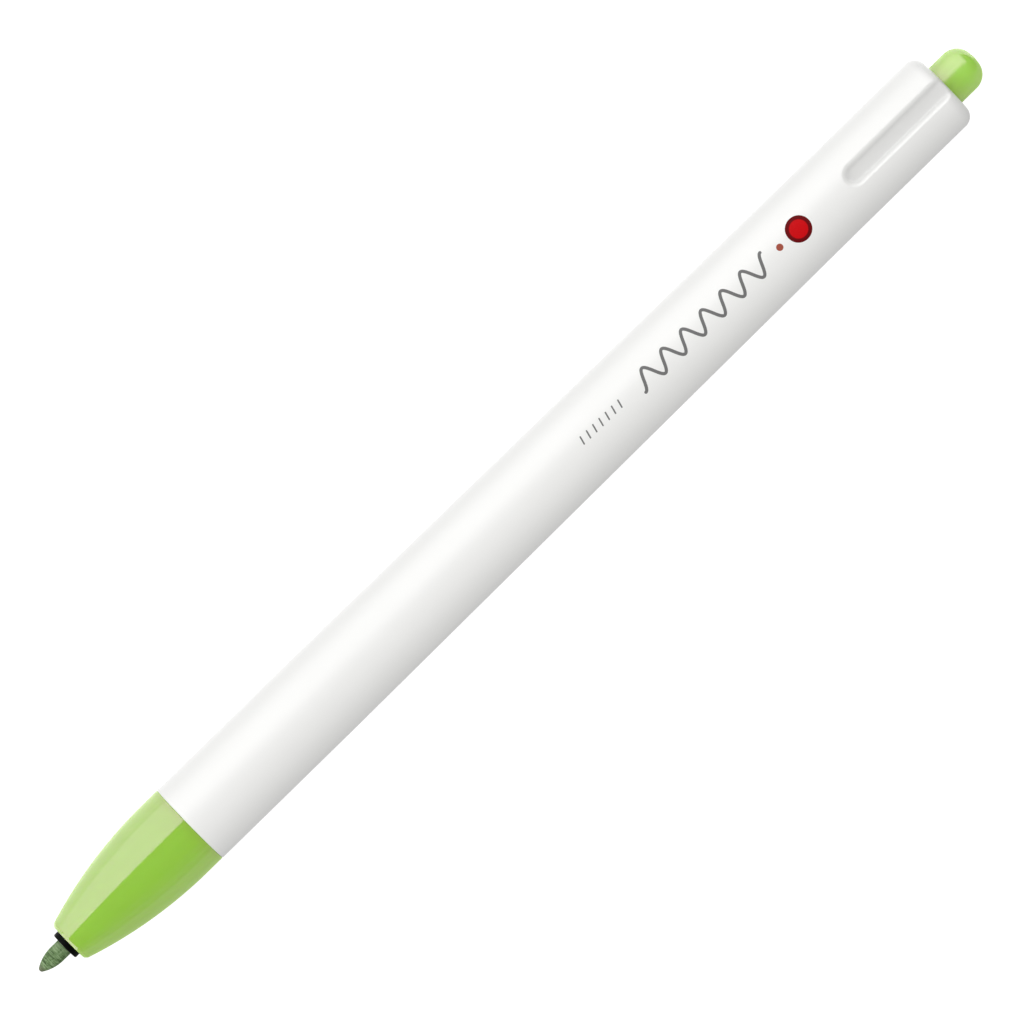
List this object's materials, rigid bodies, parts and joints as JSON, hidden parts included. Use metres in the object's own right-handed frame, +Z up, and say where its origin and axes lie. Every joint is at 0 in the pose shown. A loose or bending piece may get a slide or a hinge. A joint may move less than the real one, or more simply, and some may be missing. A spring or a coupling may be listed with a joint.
{
  "type": "retractable felt-tip marker",
  "caption": "Slim round click-action fibre-tip marker with a white tapered barrel, green nose cone and green push button.",
  "frame": {"origin": "middle of the pen's length on the surface that it lies on, under its axis", "axes": "+X along the pen from the nib to the button, +Z up through the groove, +Y completes a right-handed frame"},
  "size_m": [0.142, 0.0102, 0.0102],
  "materials": {
    "barrel_white": "satin",
    "green_plastic": "gloss",
    "nib_fibre": "matte",
    "holder_black": "satin",
    "tube_clear": "gloss",
    "ink_fibre": "matte",
    "film_clear": "gloss",
    "plug_natural": "satin",
    "spring_steel": "polished",
    "cam_white": "satin",
    "rotor_natural": "satin",
    "print_red": "gloss",
    "print_grey": "matte"
  },
  "bodies": {
    "shell": {"barrel": "barrel_white", "nose_cone": "green_plastic", "cam_guide": "cam_white", "return_spring": "spring_steel"},
    "click_button": {"push_button": "green_plastic", "plunger": "cam_white"},
    "cartridge": {"nib": "nib_fibre", "nib_holder": "holder_black", "refill_tube": "tube_clear", "ink_reservoir": "ink_fibre", "reservoir_film": "film_clear", "refill_plug": "plug_natural"},
    "rotor": {"cam_rotor": "rotor_natural"}
  },
  "joints": [
    {"name": "button_slide", "type": "slide", "parent": "shell", "child": "click_button", "axis": [1, 0, 0], "range_m": [-0.001, 0.0052]},
    {"name": "cartridge_slide", "type": "slide", "parent": "shell", "child": "cartridge", "axis": [1, 0, 0], "range_m": [-0.001, 0.0052], "deforming": ["return_spring"]},
    {"name": "rotor_turn", "type": "hinge", "parent": "cartridge", "child": "rotor", "pos_m": [0.0435, 0, 0.00513], "axis": [1, 0, 0], "continuous": true}
  ],
  "couplings": [
    {"joint": "cartridge_slide", "follows": "button_slide", "ratio": 1}
  ]
}
